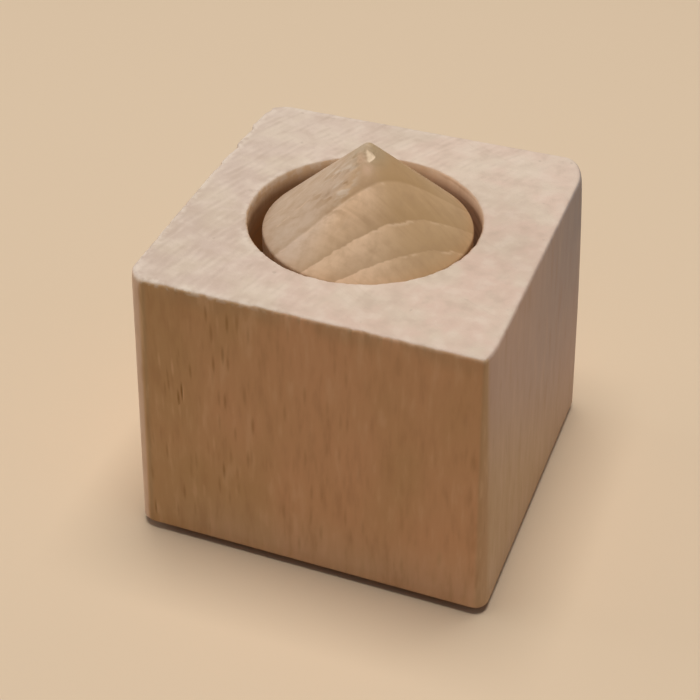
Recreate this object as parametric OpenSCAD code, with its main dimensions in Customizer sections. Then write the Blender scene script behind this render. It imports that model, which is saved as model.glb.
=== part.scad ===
// Square beech block with a blind bore in its end-grain top, and a loose turned cone that stands in the bore.
// The block stands on z = 0 with its upright axis on the origin, and its front face looks along -Y.

/* [Block] */
// Width of the block across its front and side faces
block_w = 55; // [46:0.5:80]
// Height of the block
block_h = 47; // [30:0.5:80]
// Radius of the four upright edges
upright_r = 3.8; // [1.5:0.1:6]
// Rounding of the edges round the top face
top_edge_r = 0.5; // [0.2:0.1:1.2]
// Rounding of the edges round the underside
foot_edge_r = 1.1; // [0.2:0.1:1.4]

/* [Bore] */
// Diameter of the blind bore
bore_d = 35; // [20:0.5:42]
// How far the bore's axis lies to the right of the block's
bore_x = -0.5; // [-0.8:0.1:0.8]
// How far the bore's axis lies behind the block's
bore_y = -0.4; // [-0.8:0.1:0.8]
// Depth of the bore below the top face
bore_depth = 25; // [12:0.5:40]
// Chamfer that eases the bore's rim
rim_chamfer = 0.3; // [0.1:0.1:1]

/* [Cone] */
// Diameter of the bore less that of the cone
cone_clearance = 3.5; // [1.5:0.1:8]
// How far the cone lies to the right of the bore's axis
cone_shift = 0.5; // [0:0.1:1.5]
// Slope of the cone, in degrees above level
cone_slope = 43; // [25:1:60]
// Depth below the top face at which the cone's slope meets its skirt
shoulder_depth = 1.6; // [0:0.1:6]
// Rounding of the shoulder between slope and skirt
shoulder_r = 0.7; // [0.3:0.1:3]
// Rounding of the blunt tip
tip_r = 1.25; // [0.3:0.05:3]

/* [Chip] */
// Distance of the chip from the cone's sharp apex, down the slope
chip_down = 2.2; // [1.8:0.1:8]
// Direction of the chip in plan, in degrees from the right-hand side
chip_turn = -70; // [-180:1:180]
// Depth of the chip into the slope
chip_depth = 0.25; // [0.05:0.05:0.5]
// Radius of the scoop that the chip left
chip_r = 2.2; // [1:0.1:5]

/* [Hidden] */
$fn = 96;

// Distance from the block's axis to the centre of an upright edge's rounding
upright_c = block_w / 2 - upright_r;
bore_floor = block_h - bore_depth;

cone_radius = (bore_d - cone_clearance) / 2;
skirt_h = bore_depth - shoulder_depth;
apex_z = skirt_h + cone_radius * tan(cone_slope);

// Centres of the two roundings in the cone's section
tip_c = [0, apex_z - tip_r / cos(cone_slope)];
shoulder_x = cone_radius - shoulder_r;
shoulder_c = [shoulder_x, apex_z - shoulder_x * tan(cone_slope) - shoulder_r / cos(cone_slope)];

// Unit vector square to the slope in the cone's section, pointing out of the wood
slope_out = [sin(cone_slope), cos(cone_slope)];

// Overlap of a cutter past the face that it cuts
past = 1;

// Half of an upright section, from its axis out to a side with rounded top and bottom edges
module rounded_half(half_w) {
    translate([0, foot_edge_r]) square([half_w, block_h - foot_edge_r - top_edge_r]);
    square([half_w - foot_edge_r, foot_edge_r]);
    translate([half_w - foot_edge_r, foot_edge_r]) circle(r = foot_edge_r);
    translate([0, block_h - top_edge_r]) square([half_w - top_edge_r, top_edge_r]);
    translate([half_w - top_edge_r, block_h - top_edge_r]) circle(r = top_edge_r);
}

// Upright slab with rounded top and bottom edges on its two outer sides, as wide as the block along X
module slab() {
    rotate([90, 0, 0]) linear_extrude(2 * upright_c, center = true) {
        rounded_half(block_w / 2);
        mirror([1, 0]) rounded_half(block_w / 2);
    }
}

module block() {
    color([0.80, 0.68, 0.57]) difference() {
        union() {
            slab();
            rotate(90) slab();
            for (quarter = [0 : 90 : 270]) rotate(quarter) translate([upright_c, upright_c, 0])
                rotate_extrude(angle = 90) rounded_half(upright_r);
        }
        translate([bore_x, bore_y, bore_floor]) cylinder(d = bore_d, h = bore_depth + past);
        translate([bore_x, bore_y, block_h - rim_chamfer])
            cylinder(r1 = bore_d / 2, r2 = bore_d / 2 + rim_chamfer + past, h = rim_chamfer + past);
    }
}

// Section of the turned cone, from its flat base up to its blunt tip
module cone_section() {
    polygon([
        [0, 0],
        [cone_radius, 0],
        [cone_radius, shoulder_c.y],
        shoulder_c + shoulder_r * slope_out,
        tip_c + tip_r * slope_out,
        [0, tip_c.y],
    ]);
    translate(shoulder_c) circle(r = shoulder_r);
    intersection() {
        translate(tip_c) circle(r = tip_r);
        translate(tip_c - [0, tip_r]) square([tip_r, 2 * tip_r]);
    }
}

module cone() {
    chip_x = chip_down * cos(cone_slope) + (chip_r - chip_depth) * slope_out.x;
    chip_z = apex_z - chip_down * sin(cone_slope) + (chip_r - chip_depth) * slope_out.y;
    color([0.76, 0.61, 0.46]) translate([bore_x + cone_shift, bore_y, bore_floor]) difference() {
        rotate_extrude() cone_section();
        rotate(chip_turn) translate([chip_x, 0, chip_z]) sphere(r = chip_r);
    }
}

block();
cone();
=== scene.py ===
import math

import bmesh
import bpy
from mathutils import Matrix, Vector, noise


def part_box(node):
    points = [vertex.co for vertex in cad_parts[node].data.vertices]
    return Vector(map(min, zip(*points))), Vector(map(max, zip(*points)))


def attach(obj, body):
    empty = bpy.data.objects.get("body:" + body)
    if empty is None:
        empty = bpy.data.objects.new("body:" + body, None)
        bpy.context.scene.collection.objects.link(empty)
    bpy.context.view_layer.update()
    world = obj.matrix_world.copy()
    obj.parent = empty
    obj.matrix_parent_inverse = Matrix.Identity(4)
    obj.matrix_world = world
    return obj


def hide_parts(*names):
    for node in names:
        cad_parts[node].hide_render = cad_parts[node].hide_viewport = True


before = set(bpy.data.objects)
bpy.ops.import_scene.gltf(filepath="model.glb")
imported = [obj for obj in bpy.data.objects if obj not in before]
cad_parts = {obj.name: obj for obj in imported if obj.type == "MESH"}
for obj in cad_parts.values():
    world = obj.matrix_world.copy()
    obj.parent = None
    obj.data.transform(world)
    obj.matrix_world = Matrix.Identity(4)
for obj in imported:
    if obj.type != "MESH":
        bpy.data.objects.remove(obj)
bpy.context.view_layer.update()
scene = bpy.context.scene

# Block
# A square piece of bare beech with upright grain, rounded by hand along its upright edges.
# Its top is sawn across the grain and left rough, and a bore is drilled down it a little off the middle.
MM = 0.001
hair = 0.01 * MM
block_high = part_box("block")[1]
half_width = block_high.x
block_height = block_high.z
top_edge_radius = 0.6 * MM
foot_chamfer = Vector((3.0, 1.15)) * MM
foot_ease_in = 0.2 * MM
foot_ease_up = 0.3 * MM
bore_centre = Vector((-0.5, -0.4)) * MM
bore_radius = 17.5 * MM
bore_floor = block_height - 25 * MM
rim_chamfer = 0.25 * MM
rim_radius = bore_radius + rim_chamfer
# The rim strays from its circle in coarse and fine waves, each with its pitch and its reach.
rim_waves = [(9, 0.15 * MM), (24, 0.1 * MM)]

# The block isn't quite true: each corner lies this far to the right of a true square's and behind it, in
# millimetres. The front left corner comes first, then the front right, the back right and the back left.
top_faults = [Vector((0.22, 0.45)), Vector((0, -0.8)), Vector((-0.9, -0.1)), Vector((0.5, -0.3))]
foot_faults = [Vector((-0.55, 0.8)), Vector((1.1, -0.45)), Vector((0.1, 0)), Vector((-0.3, 0))]
# Three upright edges are rounded unevenly: over this much of each side, at the foot and at the top. The
# back right edge gets rounder mostly near the top, and by a further share in the last few millimetres.
corner_radius = 3.8 * MM
least_corner = 0.2 * MM
left_corner = [Vector((2.6, 2.6)) * MM, Vector((3.8, 3.8)) * MM]
near_corner = [Vector((2.2, 2.2)) * MM, Vector((1, 5.5)) * MM]
back_corner = [Vector((2.6, 2.6)) * MM, Vector((3.4, 6.8)) * MM]
back_corner_power = 3
back_corner_wear = 0.25
back_wear_power = 40

# The saw's teeth ran in wide arcs about a point far off to the right.
saw_centre = Vector((150, -59)) * MM
saw_pitch = 1.35 * MM
# In millimetres: where the first large tooth stepped out of the left edge, back from the middle, how far
# apart the teeth are, how deep they went, and the share of the way to the next tooth at which each one stops.
first_tooth = 19.6
tooth_pitch = 6.2
tooth_depth = 0.75
tooth_stop = 0.88
# Nicks along the top's edges, coarse and fine, each with its pitch and its depth in millimetres. The right
# edge is spared most of them.
nick_waves = [(0.25, 0.2), (0.7, 0.22)]
spared_share = 0.85
# How far the pale wear and its painted highlight reach over the top from its edges. Down the sides they fade
# this many times as fast.
pale_edge_reach = 0.9 * MM
pale_edge_fall = 4


def between(start, end, steps):
    """Points from start to end, without the first one."""
    return [start.lerp(end, (i + 1) / steps) for i in range(steps)]


def arc(centre, radius, first, last, steps):
    """Points on an arc in the upright section, without the first one, between two turns in degrees."""
    turns = [math.radians(first + (last - first) * (i + 1) / steps) for i in range(steps)]
    return [centre + radius * Vector((math.cos(turn), math.sin(turn))) for turn in turns]


def spun(section, steps):
    """A bmesh with the section, points of radius and height, spun once round the upright axis."""
    form = bmesh.new()
    verts = [form.verts.new((point.x, 0, point.y)) for point in section]
    edges = [form.edges.new(pair) for pair in zip(verts, verts[1:])]
    bmesh.ops.spin(
        form, geom=verts + edges, cent=(0, 0, 0), axis=(0, 0, 1), angle=math.tau, steps=steps, use_merge=True
    )
    bmesh.ops.remove_doubles(form, verts=form.verts, dist=0.1 * hair)
    bmesh.ops.recalc_face_normals(form, faces=form.faces)
    return form


def smooth_step(start, end, value):
    """0 before start and 1 after end, with a smooth rise between them."""
    share = max(0, min(1, (value - start) / (end - start)))
    return share * share * (3 - 2 * share)


def corner_rounding(heading, level):
    """How far the upright edge on a heading is rounded over its two sides, at a share of the height."""
    if heading.x < 0 and heading.y < 0:
        return left_corner[0].lerp(left_corner[1], level)
    if heading.x > 0 > heading.y:
        return near_corner[0].lerp(near_corner[1], level)
    if heading.x > 0 and heading.y > 0:
        worn = 1 + back_corner_wear * level**back_wear_power
        return back_corner[0].lerp(back_corner[1], level**back_corner_power) * worn
    return Vector((corner_radius, corner_radius))


def side_reach(heading, half, corner):
    """How far a square with rounded corners reaches from its middle along a heading."""
    across, along = abs(heading.x), abs(heading.y)
    if along * half <= across * (half - corner.y):
        return half / across
    if across * half <= along * (half - corner.x):
        return half / along
    scaled = Vector((across / corner.x, along / corner.y))
    centre = Vector(((half - corner.x) / corner.x, (half - corner.y) / corner.y))
    part = scaled.dot(centre)
    square = scaled.length_squared
    return (part + math.sqrt(part**2 - square * (centre.length_squared - 1))) / square


def side_point(heading, inset, height):
    """The point of the block's outline along a heading, set in from its sides."""
    level = height / block_height
    corner = corner_rounding(heading, level)
    corner = Vector((max(corner.x - inset, least_corner), max(corner.y - inset, least_corner)))
    point = heading * side_reach(heading, half_width - inset, corner)
    right_share = 0.5 + point.x / half_width / 2
    back_share = 0.5 + point.y / half_width / 2
    faults = [foot.lerp(top, level) for foot, top in zip(foot_faults, top_faults)]
    front_fault = faults[0].lerp(faults[1], right_share)
    back_fault = faults[3].lerp(faults[2], right_share)
    return point + front_fault.lerp(back_fault, back_share) * MM


def toothed(point):
    """1 along the back part of the left edge, where the saw's teeth broke the wood away, and 0 elsewhere."""
    return smooth_step(2 * MM, 14 * MM, point.y) * smooth_step(-22.5 * MM, -25 * MM, point.x)


def edge_wear(point, height):
    """How far the top's edge is broken away at a point, by small nicks and by the saw's teeth."""
    place = point.to_3d() / MM
    nicks = sum(depth * abs(noise.noise(place * pitch)) for pitch, depth in nick_waves)
    nicks *= 1 - spared_share * smooth_step(18 * MM, 25 * MM, point.x)
    tooth = (place.y - first_tooth) / tooth_pitch % 1
    teeth = tooth_depth * toothed(point) * tooth * smooth_step(1, tooth_stop, tooth)
    return (nicks + teeth) * MM * (1 - smooth_step(0.3 * MM, 2 * MM, block_height - height))


foot_inner = half_width - foot_chamfer.x
top_inner = half_width - top_edge_radius
edge_low = block_height - top_edge_radius
block_section = [Vector((0, 0))]
block_section += between(block_section[-1], Vector((foot_inner, 0)), 3)
block_section += between(block_section[-1], Vector((half_width - foot_ease_in, foot_chamfer.y)), 4)
block_section += between(block_section[-1], Vector((half_width, foot_chamfer.y + foot_ease_up)), 2)
block_section += between(block_section[-1], Vector((half_width, edge_low - 2 * MM)), 20)
block_section += between(block_section[-1], Vector((half_width, edge_low)), 6)
block_section += arc(Vector((top_inner, edge_low)), top_edge_radius, 0, 90, 5)
block_section += between(block_section[-1], Vector((rim_radius, block_height)), 24)
block_section += between(block_section[-1], Vector((bore_radius, block_height - rim_chamfer)), 2)
block_section += between(block_section[-1], Vector((bore_radius, bore_floor)), 10)
block_section += between(block_section[-1], Vector((0, bore_floor)), 3)
block_form = spun(block_section, 720)

# The top's outer edge and the bore's rim are worn pale with a painted highlight, and the bore's wall is cut
# along the grain.
edge_shares = []
bore_shares = []
for vert in block_form.verts:
    radius = vert.co.xy.length
    depth = block_height - vert.co.z
    from_edge = max(top_inner - radius, pale_edge_fall * (depth - top_edge_radius))
    from_rim = max(abs(radius - rim_radius) - rim_chamfer, depth - rim_chamfer)
    edge_shares.append(1 - smooth_step(0, pale_edge_reach, min(from_edge, from_rim)))
    bore_shares.append(float(radius < rim_radius - hair and vert.co.z > bore_floor - hair))

# The spun form is squared up: the bore keeps its circle, the sides move out to the block's outline,
# and the top and the underside stretch between them.
for vert in block_form.verts:
    radius = vert.co.xy.length
    height = vert.co.z
    if radius < hair:
        vert.co.xy = bore_centre if height > 0 else (0, 0)
        continue
    heading = vert.co.xy / radius
    in_bore = radius < rim_radius + hair and height > bore_floor - hair
    on_top = height > block_height - hair and not in_bore
    if in_bore or on_top:
        stray = sum(reach * noise.noise((heading * pitch).to_3d()) for pitch, reach in rim_waves)
        near_rim = smooth_step(block_height - 3 * rim_chamfer, block_height, height)
        rim_point = bore_centre + heading * (min(radius, rim_radius) + stray * near_rim)
    if in_bore:
        vert.co.xy = rim_point
        continue
    inset = half_width - max(radius, foot_inner if height < block_height / 2 else top_inner)
    edge_point = side_point(heading, inset, height)
    edge_point -= heading * edge_wear(edge_point, height)
    if on_top:
        vert.co.xy = rim_point.lerp(edge_point, (radius - rim_radius) / (top_inner - rim_radius))
    else:
        vert.co.xy = edge_point * min(1, radius / foot_inner)


def finished_mesh(form, name):
    """The mesh of a finished form."""
    mesh = bpy.data.meshes.new(name)
    form.to_mesh(mesh)
    form.free()
    return mesh


def write_attribute(mesh, name, values):
    """Keeps one number for each vertex, which a material can read by name."""
    mesh.attributes.new(name, "FLOAT", "POINT").data.foreach_set("value", values)


block_mesh = finished_mesh(block_form, "block_beech")
block_mesh.shade_smooth()
block_normals = [normal.vector.copy() for normal in block_mesh.vertex_normals]
# Near the saw's teeth the top of the side takes the end grain's pale colour, as fresh broken wood and as
# painted light that lifts the teeth's shade.
tooth_shares = [
    0.9 * toothed(vert.co.xy) * smooth_step(block_height - 2 * MM, block_height - 0.6 * MM, vert.co.z)
    for vert in block_mesh.vertices
]
end_shares = [max(normal.z, share) for normal, share in zip(block_normals, tooth_shares)]
right_shares = [normal.x / max(0.05, normal.xy.length) for normal in block_normals]
write_attribute(block_mesh, "end_grain", end_shares)
write_attribute(block_mesh, "rightward", right_shares)
write_attribute(block_mesh, "downward", [-normal.z for normal in block_normals])
write_attribute(block_mesh, "edge_wear_and_highlight", edge_shares)
write_attribute(block_mesh, "bored", bore_shares)


def join(tree, part, socket):
    """Links another node's output to a socket, or sets the socket to a plain value."""
    if isinstance(part, bpy.types.NodeSocket):
        tree.links.new(part, socket)
    else:
        socket.default_value = part


def maths(tree, operation, *parts):
    """The result of a maths node on numbers or other nodes' outputs."""
    node = tree.nodes.new("ShaderNodeMath")
    node.operation = operation
    for part, socket in zip(parts, node.inputs):
        join(tree, part, socket)
    return node.outputs["Value"]


def both(tree, first, second):
    """A mask that shows where the first and the second do, or a mask made weaker by a share."""
    return maths(tree, "MULTIPLY", first, second)


def vector_maths(tree, operation, *parts):
    """The result of a vector maths node on vectors or other nodes' outputs."""
    node = tree.nodes.new("ShaderNodeVectorMath")
    node.operation = operation
    for part, socket in zip(parts, node.inputs):
        join(tree, part, socket)
    return node.outputs["Value" if operation == "LENGTH" else "Vector"]


def split(tree, vector):
    """The three parts of a vector."""
    node = tree.nodes.new("ShaderNodeSeparateXYZ")
    join(tree, vector, node.inputs[0])
    return [node.outputs[axis] for axis in "XYZ"]


def combined(tree, *parts):
    """A vector made of three parts."""
    node = tree.nodes.new("ShaderNodeCombineXYZ")
    for part, socket in zip(parts, node.inputs):
        join(tree, part, socket)
    return node.outputs[0]


def cloud(tree, place, pitch, detail=2.0, output="Fac"):
    """Noise at a place in millimetres, with about this many features for each millimetre along each axis."""
    node = tree.nodes.new("ShaderNodeTexNoise")
    node.inputs["Scale"].default_value = 1
    node.inputs["Detail"].default_value = detail
    join(tree, vector_maths(tree, "MULTIPLY", place, pitch), node.inputs["Vector"])
    return node.outputs[output]


def rise(tree, value, start, end):
    """0 before start and 1 after end, with a smooth change between them."""
    node = tree.nodes.new("ShaderNodeMapRange")
    node.interpolation_type = "SMOOTHSTEP"
    join(tree, value, node.inputs["Value"])
    node.inputs["From Min"].default_value = start
    node.inputs["From Max"].default_value = end
    return node.outputs["Result"]


def blend(tree, share, first, second):
    """A colour part of the way from the first to the second."""
    node = tree.nodes.new("ShaderNodeMix")
    node.data_type = "RGBA"
    join(tree, share, node.inputs[0])
    join(tree, first, node.inputs[6])
    join(tree, second, node.inputs[7])
    return node.outputs[2]


def tint(tree, colour, shade, mask, share):
    """A colour that takes on a share of a shade where the mask shows."""
    return blend(tree, both(tree, mask, share), colour, shade)


def attribute(tree, name):
    """A number kept for each vertex of the mesh."""
    node = tree.nodes.new("ShaderNodeAttribute")
    node.attribute_name = name
    return node.outputs["Fac"]


# Beech, for any piece with upright grain: growth rings about a pith, fibres along the grain, and ray
# flecks that lie along the radius, so that they show as dashes, patches or lines with the way of the cut.
beech = bpy.data.node_groups.new("beech", "ShaderNodeTree")
for name, kind in (("Pith", "Vector"), ("First Ring", "Float"), ("Ring Width", "Float")):
    beech.interface.new_socket(name, in_out="INPUT", socket_type="NodeSocket" + kind)
given = beech.nodes.new("NodeGroupInput").outputs

in_metres = beech.nodes.new("ShaderNodeTexCoord").outputs["Object"]
place = vector_maths(beech, "DIVIDE", in_metres, (MM, MM, MM))
sway = cloud(beech, place, (0.07, 0.07, 0.02), output="Color")
sway = vector_maths(beech, "SUBTRACT", sway, (0.5, 0.5, 0.5))
swayed = vector_maths(beech, "MULTIPLY_ADD", sway, (1.4, 1.4, 0), place)
from_pith = vector_maths(beech, "SUBTRACT", swayed, given["Pith"])
pith_right, pith_back, pith_up = split(beech, from_pith)
pith_radius = vector_maths(beech, "LENGTH", vector_maths(beech, "MULTIPLY", from_pith, (1, 1, 0)))
around = maths(beech, "MULTIPLY", maths(beech, "ARCTAN2", pith_back, pith_right), pith_radius)
ring_place = combined(beech, pith_radius, around, pith_up)

# Each ring's edge is pleated and jagged, and wide and narrow rings take turns.
pleat_wave = cloud(beech, ring_place, (0.08, 0.55, 0.02), 1)
pleats = maths(beech, "ABSOLUTE", maths(beech, "SUBTRACT", pleat_wave, 0.5))
jagged = maths(beech, "SUBTRACT", cloud(beech, from_pith, (2.5, 2.5, 0.3)), 0.5)
ring_edge = maths(beech, "MULTIPLY_ADD", jagged, 0.12, pith_radius)
ring_edge = maths(beech, "MULTIPLY_ADD", pleats, 0.9, ring_edge)
ring_reach = maths(beech, "SUBTRACT", ring_edge, given["First Ring"])
ring_count = maths(beech, "DIVIDE", ring_reach, given["Ring Width"])
ring_swing = maths(beech, "SINE", maths(beech, "MULTIPLY", ring_count, math.pi / 2))
ring_share = maths(beech, "FRACT", maths(beech, "MULTIPLY_ADD", ring_swing, -0.141, ring_count))

# A ray is long along the radius, thin round the ring and a few millimetres high.
ray_size = (9, 0.95, 5)
ray = beech.nodes.new("ShaderNodeTexVoronoi")
ray.inputs["Scale"].default_value = 1
join(beech, vector_maths(beech, "DIVIDE", ring_place, ray_size), ray.inputs["Vector"])
ray_middle = rise(beech, ray.outputs["Distance"], 0.48, 0.05)
fleck = both(beech, ray_middle, rise(beech, ray.outputs["Color"], 0.46, 0.84))
pale_fleck = both(beech, ray_middle, rise(beech, ray.outputs["Color"], 0.4, 0.1))

coarse_fibre = maths(beech, "MULTIPLY", cloud(beech, from_pith, (0.65, 0.65, 0.15), 3), 0.85)
fine_fibre = cloud(beech, from_pith, (3.5, 3.5, 0.25))
fibre = maths(beech, "MULTIPLY_ADD", fine_fibre, 0.15, coarse_fibre)
tone = cloud(beech, from_pith, (0.06, 0.06, 0.035), 4)

beech_looks = {
    "Place": place,
    "Ring Place": ring_place,
    "Ring": ring_share,
    "Fibre": fibre,
    "Fleck": fleck,
    "Pale Fleck": pale_fleck,
    "Tone": tone,
}
for name in beech_looks:
    kind = "Vector" if "Place" in name else "Float"
    beech.interface.new_socket(name, in_out="OUTPUT", socket_type="NodeSocket" + kind)
made = beech.nodes.new("NodeGroupOutput").inputs
for name, look in beech_looks.items():
    join(beech, look, made[name])


def bare_beech(name, pith, first_ring, ring_width):
    """A new material for wood that grew about a pith, with its shader and what its grain gives out."""
    material = bpy.data.materials.new(name)
    material.use_nodes = True
    shader = material.node_tree.nodes["Principled BSDF"]
    shader.inputs["Specular IOR Level"].default_value = 0.25
    grain = material.node_tree.nodes.new("ShaderNodeGroup")
    grain.node_tree = beech
    grain.inputs["Pith"].default_value = pith
    grain.inputs["First Ring"].default_value = first_ring
    grain.inputs["Ring Width"].default_value = ring_width
    return material, shader, grain.outputs


def finish_wood(tree, shader, wood, relief, roughness):
    """Gives the shader its colour, its relief in millimetres and its roughness."""
    bump = tree.nodes.new("ShaderNodeBump")
    bump.inputs["Distance"].default_value = MM
    join(tree, relief, bump.inputs["Height"])
    join(tree, bump.outputs["Normal"], shader.inputs["Normal"])
    join(tree, wood, shader.inputs["Base Color"])
    join(tree, roughness, shader.inputs["Roughness"])


block_wood, shader, grain = bare_beech("block_beech", pith=(8, 95, 0), first_ring=0, ring_width=3.4)
tree = block_wood.node_tree
place = grain["Place"]
across, back, up = split(tree, place)
rightward = attribute(tree, "rightward")
bored = attribute(tree, "bored")
end_share = rise(tree, attribute(tree, "end_grain"), 0.45, 0.9)

olive_brown = (0.562, 0.338, 0.162, 1)
red_brown = (0.665, 0.367, 0.199, 1)
fibre_brown = (0.42, 0.22, 0.10, 1)
fleck_brown = (0.25, 0.11, 0.012, 1)
pale_brown = (0.76, 0.495, 0.30, 1)
corner_olive = (0.43, 0.275, 0.14, 1)
warm_bounce_brown = (0.56, 0.355, 0.17, 1)
grey_brown = (0.54, 0.362, 0.278, 1)
cool_light_brown = (0.326, 0.275, 0.27, 1)
pale_stain_and_left_light = (0.68, 0.465, 0.325, 1)
low_bounce_pale = (0.72, 0.50, 0.335, 1)
bore_pale = (0.70, 0.47, 0.275, 1)
bore_shade_brown = (0.57, 0.25, 0.065, 1)
bore_painted_light = (0.92, 0.67, 0.50, 1)
underside_shade_brown = (0.34, 0.16, 0.07, 1)

# The front runs from olive on the left to red on the right. It is paler near the foot on the left, with
# painted light for the floor's bounce, and darker under the top's edge and beside the two upright edges.
redness = maths(tree, "MULTIPLY_ADD", rise(tree, across, -26, 8), 0.26, grain["Tone"])
side = blend(tree, rise(tree, redness, 0.38, 0.86), olive_brown, red_brown)
low_bounce_share = both(tree, rise(tree, up, 14, 0), rise(tree, across, -26, -12))
side = tint(tree, side, low_bounce_pale, low_bounce_share, 0.45)
under_edge = rise(tree, cloud(tree, place, (0.15, 0.15, 0.1)), 0.35, 0.6)
side = tint(tree, side, corner_olive, both(tree, rise(tree, up, 43, 46), under_edge), 0.4)
near_share = both(tree, rise(tree, rightward, 0.05, 0.6), rise(tree, back, 5, -15))
side = tint(tree, side, corner_olive, near_share, 0.6)
left_line = both(tree, rise(tree, rightward, 0, -0.2), rise(tree, rightward, -0.36, -0.2))
side = tint(tree, side, corner_olive, left_line, 0.6)

# The right side is greyer towards its top and back, partly its own tone and partly painted cool light, and
# warmer low at the front with painted warm bounce from the floor. Faint stains run along the grain.
near_edge = both(tree, rise(tree, rightward, 0.93, 0.99), rise(tree, back, 10, -5))
far_edge = both(tree, rise(tree, rightward, 0.1, 0.95), rise(tree, back, -5, 10))
right_share = maths(tree, "ADD", near_edge, far_edge)
grey_level = maths(tree, "MULTIPLY_ADD", back, 0.6, up)
grey_share = maths(tree, "MULTIPLY_ADD", rise(tree, grey_level, 4, 29), 0.7, 0.3)
cool_light_share = both(tree, rise(tree, back, -20, 32), rise(tree, up, 5, 47))
right_side = blend(tree, grey_share, warm_bounce_brown, blend(tree, cool_light_share, grey_brown, cool_light_brown))
stain = cloud(tree, place, (0.45, 0.45, 0.1), 3)
right_side = tint(tree, right_side, fibre_brown, rise(tree, stain, 0.5, 0.72), 0.21)
right_side = tint(tree, right_side, pale_stain_and_left_light, rise(tree, stain, 0.5, 0.28), 0.21)
side = blend(tree, right_share, side, right_side)

# The left side is paler than the front with painted light from the left, and most of all as a painted
# highlight along its rounded front edge.
pale_reach = maths(tree, "MULTIPLY_ADD", grain["Tone"], 14, back)
left_edge_highlight = both(tree, rise(tree, rightward, -0.28, -0.5), rise(tree, pale_reach, -1, -16))
left_side = rise(tree, rightward, -0.5, -0.9)
left_light_share = maths(tree, "MAXIMUM", left_edge_highlight, both(tree, left_side, 0.35))
side = blend(tree, left_light_share, side, pale_stain_and_left_light)

# The bore's wall gets darker downwards with painted shade and lighter to the right with painted light, with
# faint level marks of the drill.
drill_marks = rise(tree, cloud(tree, place, (0.06, 0.06, 0.9)), 0.48, 0.66)
bore_wall = blend(tree, rise(tree, up, 40, 47), bore_shade_brown, bore_pale)
bore_wall = tint(tree, bore_wall, bore_painted_light, rise(tree, across, -6, 14), 0.6)
bore_wall = tint(tree, bore_wall, fibre_brown, drill_marks, 0.4)
side = tint(tree, side, bore_wall, bored, 0.9)

# Fibres and flecks are weaker on the right side and in the bore, and the flecks gather on the left.
plain_share = maths(tree, "MAXIMUM", right_share, bored)
fibre_share = maths(tree, "MULTIPLY_ADD", plain_share, -0.26, 0.31)
side = tint(tree, side, fibre_brown, rise(tree, grain["Fibre"], 0.48, 0.72), fibre_share)
side = tint(tree, side, pale_brown, rise(tree, grain["Fibre"], 0.48, 0.3), fibre_share)
fleck_cluster = rise(tree, cloud(tree, place, (0.09, 0.09, 0.04), 1), 0.3, 0.6)
fleck_left = maths(tree, "MULTIPLY_ADD", rise(tree, across, 6, -20), 0.64, 0.18)
fleck_share = both(tree, fleck_cluster, fleck_left)
fleck_share = both(tree, fleck_share, maths(tree, "MULTIPLY_ADD", bored, -0.9, 1))
fleck_share = both(tree, fleck_share, maths(tree, "MULTIPLY_ADD", left_side, -0.4, 1))
side = tint(tree, side, fleck_brown, grain["Fleck"], fleck_share)
side = tint(tree, side, pale_brown, grain["Pale Fleck"], fleck_share)
# Faces that turn downwards take a dark brown: painted shade under the block's foot.
side = blend(tree, rise(tree, attribute(tree, "downward"), 0.2, 0.7), side, underside_shade_brown)

# The sawn end grain is mottled and blotched, with dark specks.
end_grey = (0.635, 0.49, 0.395, 1)
end_pink = (0.685, 0.495, 0.385, 1)
end_cream = (0.685, 0.55, 0.42, 1)
end_dark = (0.54, 0.40, 0.30, 1)
saw_shade_and_speck = (0.48, 0.36, 0.27, 1)
saw_light_and_pale_tone = (0.78, 0.635, 0.51, 1)
edge_pale = (0.80, 0.665, 0.54, 1)
end = blend(tree, rise(tree, across, -26, 12), end_grey, end_pink)
mottle = cloud(tree, place, (0.13, 0.13, 0.13), 3)
end = tint(tree, end, end_cream, rise(tree, mottle, 0.4, 0.65), 0.9)
end = tint(tree, end, saw_light_and_pale_tone, rise(tree, back, -5, 27), 0.3)
patch = cloud(tree, place, (0.06, 0.06, 0.06))
end = tint(tree, end, end_dark, rise(tree, patch, 0.45, 0.65), 0.3)
blotch = cloud(tree, place, (0.32, 0.32, 0.32), 3)
end = tint(tree, end, end_dark, rise(tree, blotch, 0.48, 0.72), 0.45)
end = tint(tree, end, saw_light_and_pale_tone, rise(tree, blotch, 0.5, 0.3), 0.4)
end = tint(tree, end, end_dark, grain["Ring"], 0.1)
end = tint(tree, end, end_dark, grain["Fleck"], 0.15)
specks = rise(tree, cloud(tree, place, (0.6, 0.6, 0.6), 1), 0.74, 0.82)
end = tint(tree, end, saw_shade_and_speck, specks, 0.5)

# The saw's marks come and go along their arcs, and fine brushed lines run with them. Their ridges get a
# painted highlight and their grooves painted shade.
from_saw = vector_maths(tree, "SUBTRACT", place, (*(saw_centre / MM), 0))
from_saw = vector_maths(tree, "MULTIPLY", from_saw, (1, 1, 0))
saw_right, saw_back, saw_up = split(tree, from_saw)
saw_radius = vector_maths(tree, "LENGTH", from_saw)
saw_turn = maths(tree, "ARCTAN2", saw_back, saw_right)
saw_place = combined(tree, both(tree, saw_radius, 0.5), both(tree, saw_turn, 50), saw_up)
saw_patch = rise(tree, cloud(tree, saw_place, (1, 1, 1), 3), 0.4, 0.64)
saw_wobble = both(tree, cloud(tree, saw_place, (0.4, 0.4, 0.4), 1), 0.9)
saw_count = maths(tree, "MULTIPLY_ADD", saw_radius, MM / saw_pitch, saw_wobble)
saw_wave = maths(tree, "SINE", maths(tree, "MULTIPLY", saw_count, math.tau))
saw_ridge = both(tree, saw_wave, both(tree, saw_patch, rise(tree, saw_radius, 132, 172)))
end = tint(tree, end, saw_shade_and_speck, rise(tree, saw_ridge, 0, -0.9), 0.17)
end = tint(tree, end, saw_light_and_pale_tone, rise(tree, saw_ridge, 0, 0.9), 0.2)
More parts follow.
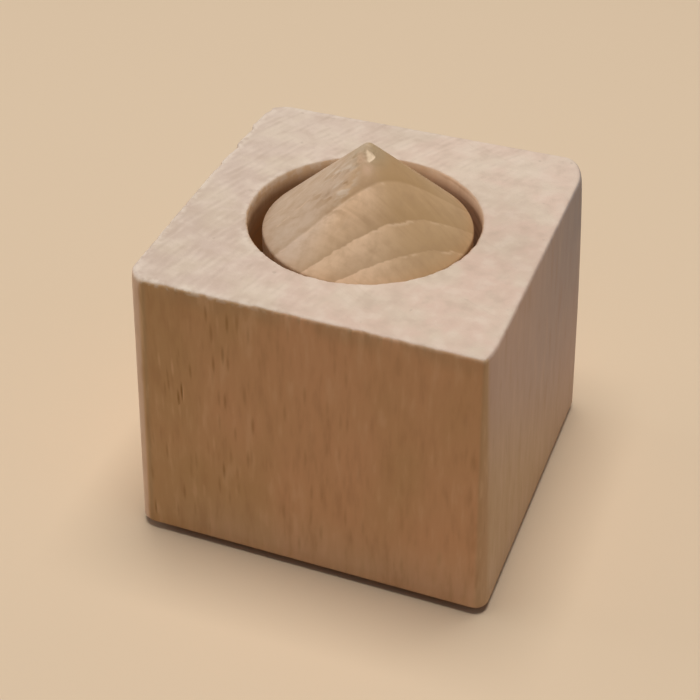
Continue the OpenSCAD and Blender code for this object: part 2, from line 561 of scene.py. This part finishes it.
brushed = cloud(tree, saw_place, (1.3, 0.8, 1), 4)
end = tint(tree, end, saw_shade_and_speck, rise(tree, brushed, 0.5, 0.75), 0.12)
end = tint(tree, end, saw_light_and_pale_tone, rise(tree, brushed, 0.5, 0.25), 0.17)

# The floor of the bore takes the wall's painted shade, and the top's edges are worn pale in places, with a
# painted highlight along them.
floor_share = both(tree, bored, rise(tree, up, 30, 24))
end = tint(tree, end, bore_shade_brown, floor_share, 0.85)
pale_edge_places = rise(tree, cloud(tree, place, (0.8, 0.8, 0.8), 3), 0.4, 0.62)
pale_edge_left = maths(tree, "MULTIPLY_ADD", rise(tree, across, 5, -24), 0.4, 0.12)
edge_wear_and_highlight = both(tree, attribute(tree, "edge_wear_and_highlight"), both(tree, pale_edge_places, pale_edge_left))
wood = blend(tree, edge_wear_and_highlight, blend(tree, end_share, side, end), edge_pale)

fibre_depth = both(tree, grain["Fibre"], maths(tree, "MULTIPLY_ADD", plain_share, -0.04, 0.05))
side_height = maths(tree, "SUBTRACT", fibre_depth, both(tree, grain["Fleck"], 0.02))
pore_depth = both(tree, cloud(tree, place, (3, 3, 3), 3), 0.05)
end_height = maths(tree, "MULTIPLY_ADD", saw_ridge, 0.012, pore_depth)
block_relief = tree.nodes.new("ShaderNodeMix")
for part, socket in zip((end_share, side_height, end_height), (0, 2, 3)):
    join(tree, part, block_relief.inputs[socket])
block_roughness = maths(tree, "MULTIPLY_ADD", grain["Fibre"], 0.2, 0.5)
finish_wood(tree, shader, wood, block_relief.outputs[0], block_roughness)
block_mesh.materials.append(block_wood)

block = bpy.data.objects.new("block_beech", block_mesh)
scene.collection.objects.link(block)
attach(block, "root")
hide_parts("block")

# Cone
# A turned piece of bare beech with upright grain, which stands loose in the bore.
# Its slope cuts through the growth rings, and its blunt tip has lost a chip and some fibres.
cone_low, cone_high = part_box("cone")
cone_radius = (cone_high.x - cone_low.x) / 2
cone_centre = (cone_high.xy + cone_low.xy) / 2
cone_slope = math.radians(43)
slope_turn = 90 - math.degrees(cone_slope)
shoulder_radius = 0.7 * MM
tip_radius = 1.25 * MM
cone_pith = Vector((-31.35, 34.08)) * MM
first_ring = 51.27
# Where the chip lies, and its corners in millimetres: each one's way down the slope from the sharp apex and
# its way to the right, and how steeply the chip's floor falls from the side that starts there.
chip_heading = math.radians(-72)
chip_corners = [(1.4, -0.55), (1.33, -0.1), (1.82, 0.69), (2.62, 1.22), (3.29, 0.19), (3.02, -0.28)]
chip_falls = [0.4, 0.4, 0.4, 0.5, 0.25, 0.12]
# Scuffs beside the chip and below it, placed as the chip's corners are.
scuffs = [(2.8, -1), (4.3, -0.1)]
scuff_reach = 1.4
# In millimetres: the radius of the rings that the torn fibres follow, how deep they are torn out of the
# slope, and how uneven the tip is.
torn_ring = 52
torn_depth = 0.22
tip_unevenness = 0.1

slope_out = Vector((math.sin(cone_slope), math.cos(cone_slope)))
apex = cone_high.z + tip_radius * (1 / math.cos(cone_slope) - 1)
tip_centre = Vector((0, apex - tip_radius / math.cos(cone_slope)))
shoulder_centre = Vector((cone_radius - shoulder_radius, 0))
shoulder_centre.y = apex - shoulder_centre.x * math.tan(cone_slope) - shoulder_radius / math.cos(cone_slope)
slope_low = shoulder_centre + shoulder_radius * slope_out
slope_high = tip_centre + tip_radius * slope_out

# The upper part of the slope has finer steps, for the chip and the torn fibres.
cone_section = [Vector((0, cone_low.z))]
cone_section += between(cone_section[-1], Vector((cone_radius, cone_low.z)), 3)
cone_section += between(cone_section[-1], Vector((cone_radius, shoulder_centre.y)), 8)
cone_section += arc(shoulder_centre, shoulder_radius, 0, slope_turn, 6)
cone_section += between(cone_section[-1], slope_low.lerp(slope_high, 0.7), 60)
cone_section += between(cone_section[-1], slope_high, 48)
cone_section += arc(tip_centre, tip_radius, slope_turn, 90, 10)
cone_form = spun(cone_section, 360)
bmesh.ops.translate(cone_form, verts=cone_form.verts, vec=cone_centre.to_3d())


def chip_fall(place):
    """How deep the chip is, in millimetres, at a place on the slope. Its floor falls from each side."""
    corners = [Vector(corner) for corner in chip_corners]
    falls = []
    for corner, after, fall in zip(corners, corners[1:] + corners[:1], chip_falls):
        falls.append(-fall * (after - corner).normalized().cross(place - corner))
    return max(0, min(falls))


# The blunt tip is uneven, fibres are torn out in streaks along the rings on the upper left of the front,
# and the chip is a flat hollow that rises to the slope at its lower side.
torn_shares = []
chip_shares = []
scuff_shares = []
tip_shares = []
left_shares = []
for vert in cone_form.verts:
    spoke = vert.co.xy - cone_centre
    heading = math.atan2(spoke.y, spoke.x)
    degrees = math.degrees(heading)
    reach = spoke.length / MM
    on_slope = vert.co.z > slope_low.y
    torn = smooth_step(-175, -150, degrees) * smooth_step(-80, -112, degrees)
    torn *= smooth_step(0.6, 1.6, reach) * smooth_step(12, 5, reach) * on_slope
    from_cone_pith = vert.co.xy - cone_pith
    along_ring = math.atan2(from_cone_pith.y, from_cone_pith.x) * torn_ring
    streak = noise.noise(Vector((from_cone_pith.length / MM * 1.5, along_ring * 0.5, 0)))
    uneven = smooth_step(4, 1, reach) * on_slope * abs(noise.noise(vert.co / MM * 1.3))
    wear = torn_depth * torn * max(0, streak) + tip_unevenness * uneven
    slope_place = Vector((reach / math.cos(cone_slope), reach * (heading - chip_heading)))
    chip = chip_fall(slope_place) if on_slope else 0
    scuff = min((slope_place - Vector(scuff)).length for scuff in scuffs)
    sideways = spoke.normalized() * slope_out.x
    vert.co -= Vector((sideways.x, sideways.y, slope_out.y)) * (wear + chip) * MM
    torn_shares.append(torn)
    chip_shares.append(smooth_step(0, 0.05, chip))
    scuff_shares.append(smooth_step(scuff_reach, 0, scuff))
    tip_shares.append(smooth_step(4, 1.2, reach) * on_slope)
    left_shares.append(-spoke.normalized().x)

cone_mesh = finished_mesh(cone_form, "cone_beech")
cone_mesh.shade_smooth()
write_attribute(cone_mesh, "torn", torn_shares)
write_attribute(cone_mesh, "chipped", chip_shares)
write_attribute(cone_mesh, "scuffed", scuff_shares)
write_attribute(cone_mesh, "tip", tip_shares)
write_attribute(cone_mesh, "left", left_shares)

cone_wood, shader, grain = bare_beech("cone_beech", (*(cone_pith / MM), 0), first_ring, ring_width=4.13)
tree = cone_wood.node_tree
place = grain["Place"]
across, back, up = split(tree, place)
ring_radius = split(tree, grain["Ring Place"])[0]
leftward = attribute(tree, "left")

early_wood = (0.82, 0.545, 0.335, 1)
late_wood = (0.36, 0.207, 0.088, 1)
olive_shade_wood = (0.44, 0.265, 0.115, 1)
left_light_pale_wood = (0.65, 0.485, 0.36, 1)
new_wood = (0.78, 0.55, 0.36, 1)
fibre_wood = (0.40, 0.24, 0.12, 1)
torn_wood = (0.66, 0.51, 0.375, 1)
cap_wood = (0.47, 0.36, 0.225, 1)
scuffed_wood = (0.68, 0.44, 0.28, 1)
fresh_lit_wood = (0.88, 0.66, 0.44, 1)

# Each ring darkens towards its outer edge, unevenly along the rays. The wood inside the first ring is
# darker all over, with a line at its edge.
rays = cloud(tree, grain["Ring Place"], (0.2, 0.9, 0.05))
ring = grain["Ring"]
ring_room = both(tree, ring, maths(tree, "SUBTRACT", 1, ring))
ray_pull = both(tree, maths(tree, "SUBTRACT", rays, 0.5), 3.2)
ring_dark = maths(tree, "POWER", maths(tree, "MULTIPLY_ADD", ring_room, ray_pull, ring), 1.05)
ring_dark = both(tree, ring_dark, both(tree, rise(tree, ring, 1, 0.95), 0.85))
inner_share = rise(tree, ring_radius, first_ring + 0.08, first_ring - 0.37)
ring_dark = both(tree, ring_dark, maths(tree, "MULTIPLY_ADD", inner_share, -0.3, 1))
first_line = both(tree, inner_share, rise(tree, ring_radius, first_ring - 1.37, first_ring - 0.27))
inner_dark = maths(tree, "MULTIPLY_ADD", first_line, 0.2, both(tree, inner_share, 0.5))
ring_dark = maths(tree, "MAXIMUM", ring_dark, inner_dark)
wood = blend(tree, ring_dark, early_wood, late_wood)

# The slope is paler low down, olive on the right with painted shade and pale on the left with painted light,
# with blotches and fibres.
wood = tint(tree, wood, new_wood, rise(tree, up, 53, 48.5), 0.3)
wood = tint(tree, wood, olive_shade_wood, rise(tree, leftward, -0.2, -0.9), 0.7)
# The pale copy of the rings is the left flank in painted light.
worn = tint(tree, left_light_pale_wood, late_wood, ring_dark, 0.55)
left_light_and_torn_share = rise(tree, leftward, 0.05, 0.65)
wood = tint(tree, wood, worn, left_light_and_torn_share, 0.85)
blotch = cloud(tree, place, (0.35, 0.35, 0.35), 3)
wood = tint(tree, wood, fibre_wood, rise(tree, blotch, 0.45, 0.75), 0.3)
wood = tint(tree, wood, fibre_wood, rise(tree, rays, 0.56, 0.72), 0.15)
wood = tint(tree, wood, fibre_wood, rise(tree, grain["Fibre"], 0.42, 0.75), 0.3)
new_share = both(tree, rise(tree, ring, 0.1, 0.02), rise(tree, rays, 0.46, 0.6))
new_share = both(tree, new_share, rise(tree, back, 2, -4))
wood = tint(tree, wood, new_wood, new_share, 0.35)

# Torn fibres show pale and dark, the tip is grey, and the chip shows fresh wood, painted brighter still as a
# highlight.
torn_fibres = cloud(tree, grain["Ring Place"], (0.75, 0.4, 0.2), 4)
torn_share = both(tree, attribute(tree, "torn"), 0.85)
torn_share = maths(tree, "MAXIMUM", torn_share, both(tree, left_light_and_torn_share, 0.2))
wood = tint(tree, wood, torn_wood, rise(tree, torn_fibres, 0.5, 0.66), torn_share)
wood = tint(tree, wood, fibre_wood, rise(tree, torn_fibres, 0.43, 0.34), torn_share)
wood = tint(tree, wood, cap_wood, attribute(tree, "tip"), 0.55)
wood = tint(tree, wood, scuffed_wood, attribute(tree, "scuffed"), 0.7)
wood = blend(tree, attribute(tree, "chipped"), wood, fresh_lit_wood)

torn_relief = both(tree, both(tree, torn_share, torn_fibres), 0.2)
cone_relief = maths(tree, "MULTIPLY_ADD", grain["Fibre"], 0.04, torn_relief)
cone_roughness = maths(tree, "MULTIPLY_ADD", grain["Fibre"], 0.2, 0.45)
finish_wood(tree, shader, wood, cone_relief, cone_roughness)
cone_mesh.materials.append(cone_wood)

cone = bpy.data.objects.new("cone_beech", cone_mesh)
scene.collection.objects.link(cone)
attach(cone, "root")
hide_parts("cone")

# Floor
# A plain pale surface for the block to stand on.
floor_half = 3
floor_colour = (0.74, 0.565, 0.39, 1)
floor_form = bmesh.new()
bmesh.ops.create_grid(floor_form, x_segments=1, y_segments=1, size=floor_half)
floor_mesh = finished_mesh(floor_form, "floor")
floor_paint = bpy.data.materials.new("floor")
floor_paint.use_nodes = True
paint = floor_paint.node_tree.nodes["Principled BSDF"].inputs
paint["Base Color"].default_value = floor_colour
paint["Roughness"].default_value = 1
paint["Specular IOR Level"].default_value = 0
floor_mesh.materials.append(floor_paint)
floor = bpy.data.objects.new("floor", floor_mesh)
scene.collection.objects.link(floor)

# Light
# A soft lamp overhead, weak cool fills at the sides and an even glow from the room.
room = bpy.data.worlds.new("room")
room.use_nodes = True
room_glow = room.node_tree.nodes["Background"].inputs
room_glow["Color"].default_value = (1, 1, 1, 1)
room_glow["Strength"].default_value = 0.1
scene.world = room


def lamp(name, place, power, colour):
    """A soft square lamp that shines at the block, from a place in metres."""
    data = bpy.data.lights.new(name, "AREA")
    data.size = 0.5
    data.energy = power
    data.color = colour
    made_lamp = bpy.data.objects.new(name, data)
    made_lamp.location = place
    made_lamp.rotation_euler = (-Vector(place)).to_track_quat("-Z", "Y").to_euler()
    scene.collection.objects.link(made_lamp)


lamp("overhead", (0, 0.05, 1), 8.4, (1, 1, 1))
lamp("right", (0.92, -0.1, 0.17), 0.9, (0.7, 0.85, 1))
lamp("left", (-0.92, 0.02, 0.17), 2.6, (0.88, 0.94, 1))

# Camera
# Stands where the photograph was taken from, turned a little about its own line of sight.
eye = Vector((80.09, -223.1, 196.46)) * MM
aim = Vector((-2.97, 0, 21.67)) * MM
roll = math.radians(0.09)
lens = bpy.data.cameras.new("camera")
lens.sensor_width = 36
lens.lens = 97
camera = bpy.data.objects.new("camera", lens)
camera.location = eye
camera.rotation_euler = (aim - eye).to_track_quat("-Z", "Y").to_euler()
camera.rotation_euler.rotate_axis("Z", roll)
scene.collection.objects.link(camera)
scene.camera = camera
scene.view_settings.view_transform = "Standard"
